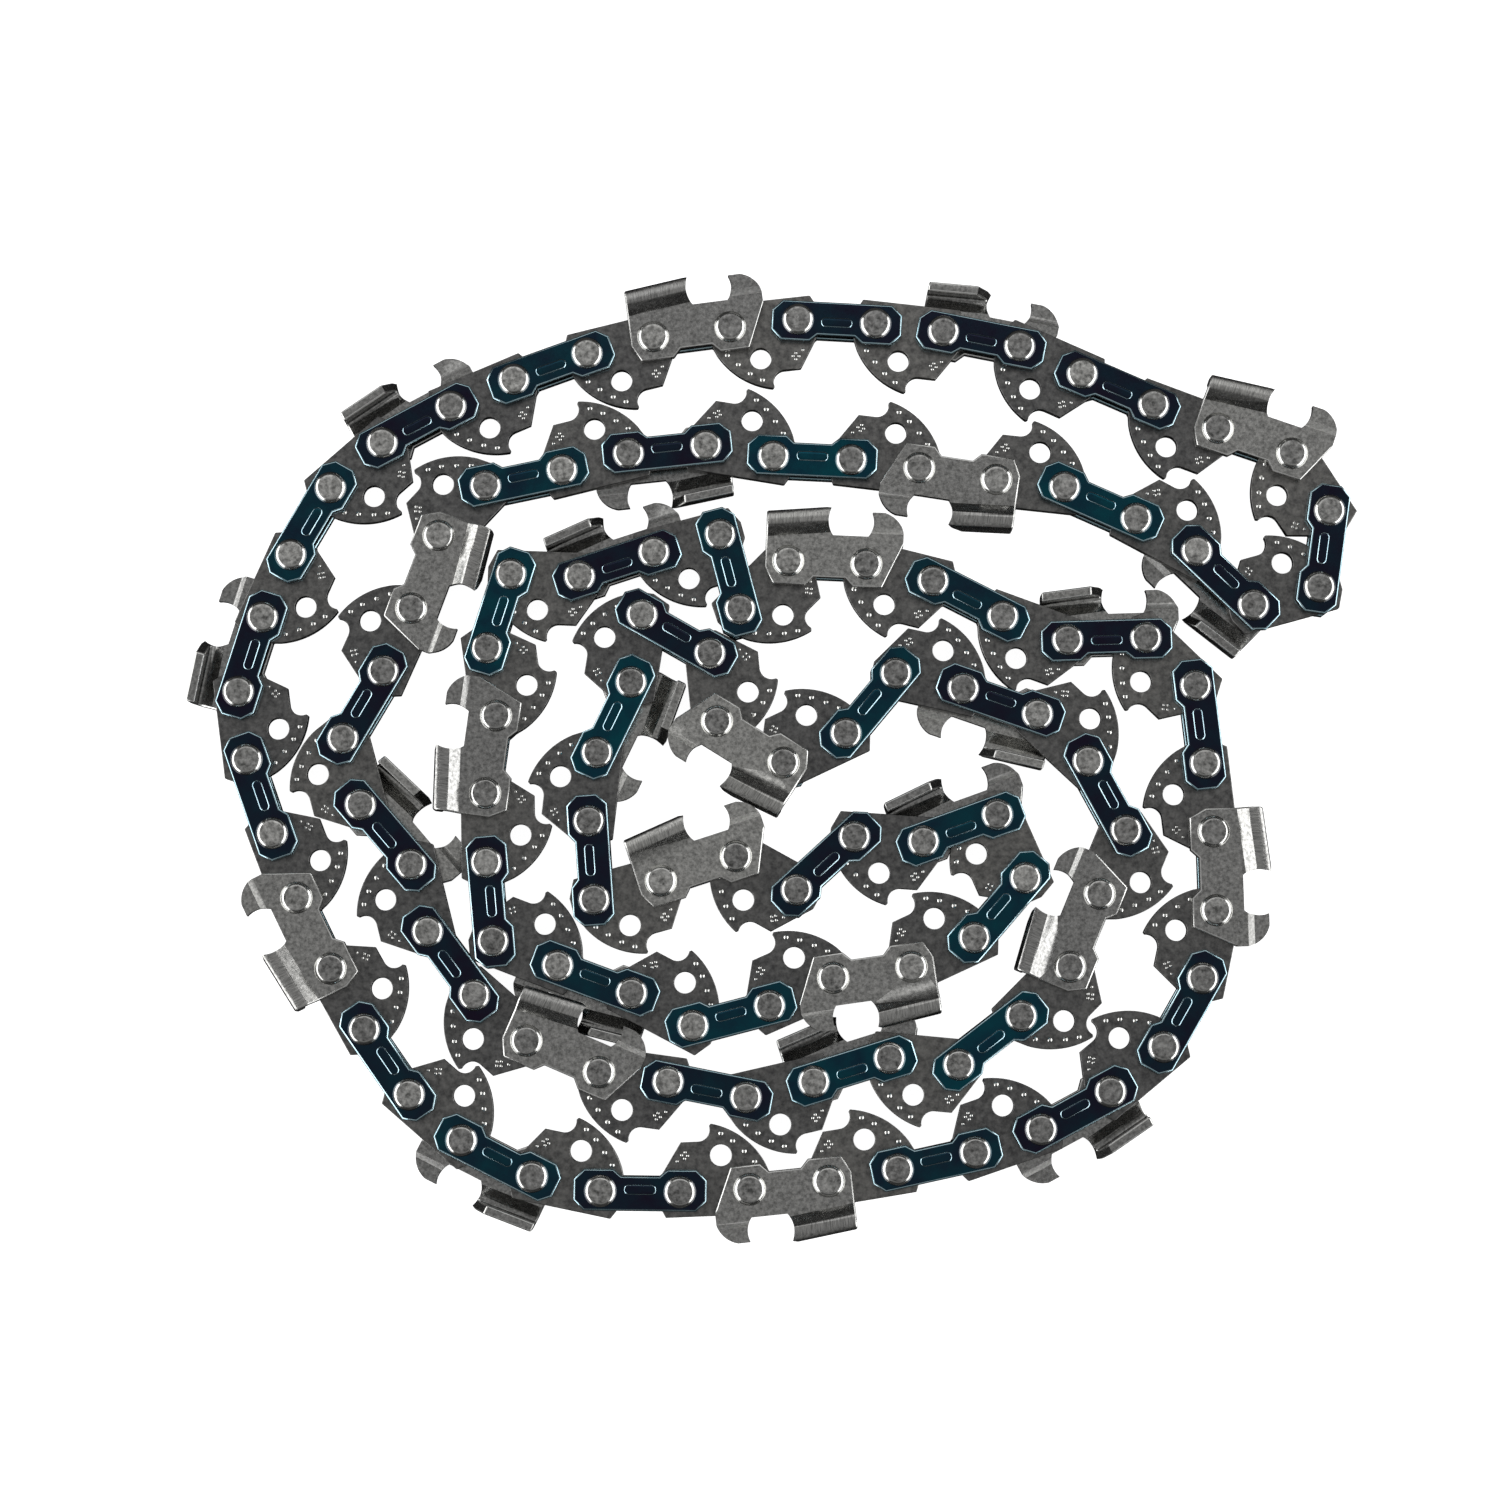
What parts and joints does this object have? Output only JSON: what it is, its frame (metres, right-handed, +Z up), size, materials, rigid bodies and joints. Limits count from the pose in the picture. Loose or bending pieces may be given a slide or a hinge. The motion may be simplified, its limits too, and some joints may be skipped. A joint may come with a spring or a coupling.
{
  "type": "chainsaw chain loop",
  "caption": "Closed loop of saw chain lying on its side in a loose coil: hooked drive links, blued tie straps and alternating right and left cutters, held by rivets.",
  "frame": {"origin": "centre of the coil's plan box, on the surface that the left-hand cutters lie on", "axes": "+X along the coil's longer side, +Y across it, +Z up, square to the flat side of the chain"},
  "size_m": [0.149, 0.1228, 0.0063],
  "materials": {
    "cutter_steel": "satin",
    "drive_steel": "satin",
    "blued_steel": "satin, heat-blued",
    "rivet_steel": "satin"
  },
  "bodies": {
    "root": {"drive_links_01": "drive_steel", "drive_links_02": "drive_steel", "drive_links_03": "drive_steel", "drive_links_04": "drive_steel", "drive_links_05": "drive_steel", "drive_links_06": "drive_steel", "drive_links_07": "drive_steel", "drive_links_08": "drive_steel", "drive_links_09": "drive_steel", "drive_links_10": "drive_steel", "drive_links_11": "drive_steel", "drive_links_12": "drive_steel", "drive_links_13": "drive_steel", "drive_links_14": "drive_steel", "drive_links_15": "drive_steel", "drive_links_16": "drive_steel", "drive_links_17": "drive_steel", "drive_links_18": "drive_steel", "drive_links_19": "drive_steel", "drive_links_20": "drive_steel", "drive_links_21": "drive_steel", "drive_links_22": "drive_steel", "drive_links_23": "drive_steel", "drive_links_24": "drive_steel", "drive_links_25": "drive_steel", "drive_links_26": "drive_steel", "drive_links_27": "drive_steel", "drive_links_28": "drive_steel", "drive_links_29": "drive_steel", "left_cutter_01": "cutter_steel", "left_cutter_02": "cutter_steel", "left_cutter_03": "cutter_steel", "left_cutter_04": "cutter_steel", "left_cutter_05": "cutter_steel", "left_cutter_06": "cutter_steel", "left_cutter_07": "cutter_steel", "left_cutter_08": "cutter_steel", "left_cutter_09": "cutter_steel", "left_cutter_10": "cutter_steel", "left_cutter_11": "cutter_steel", "left_cutter_12": "cutter_steel", "left_cutter_13": "cutter_steel", "left_cutter_14": "cutter_steel", "left_cutter_15": "cutter_steel", "right_cutter_01": "cutter_steel", "right_cutter_02": "cutter_steel", "right_cutter_03": "cutter_steel", "right_cutter_04": "cutter_steel", "right_cutter_05": "cutter_steel", "right_cutter_06": "cutter_steel", "right_cutter_07": "cutter_steel", "right_cutter_08": "cutter_steel", "right_cutter_09": "cutter_steel", "right_cutter_10": "cutter_steel", "right_cutter_11": "cutter_steel", "right_cutter_12": "cutter_steel", "right_cutter_13": "cutter_steel", "right_cutter_14": "cutter_steel", "rivets": "rivet_steel", "tie_straps": "blued_steel"}
  },
  "joints": []
}
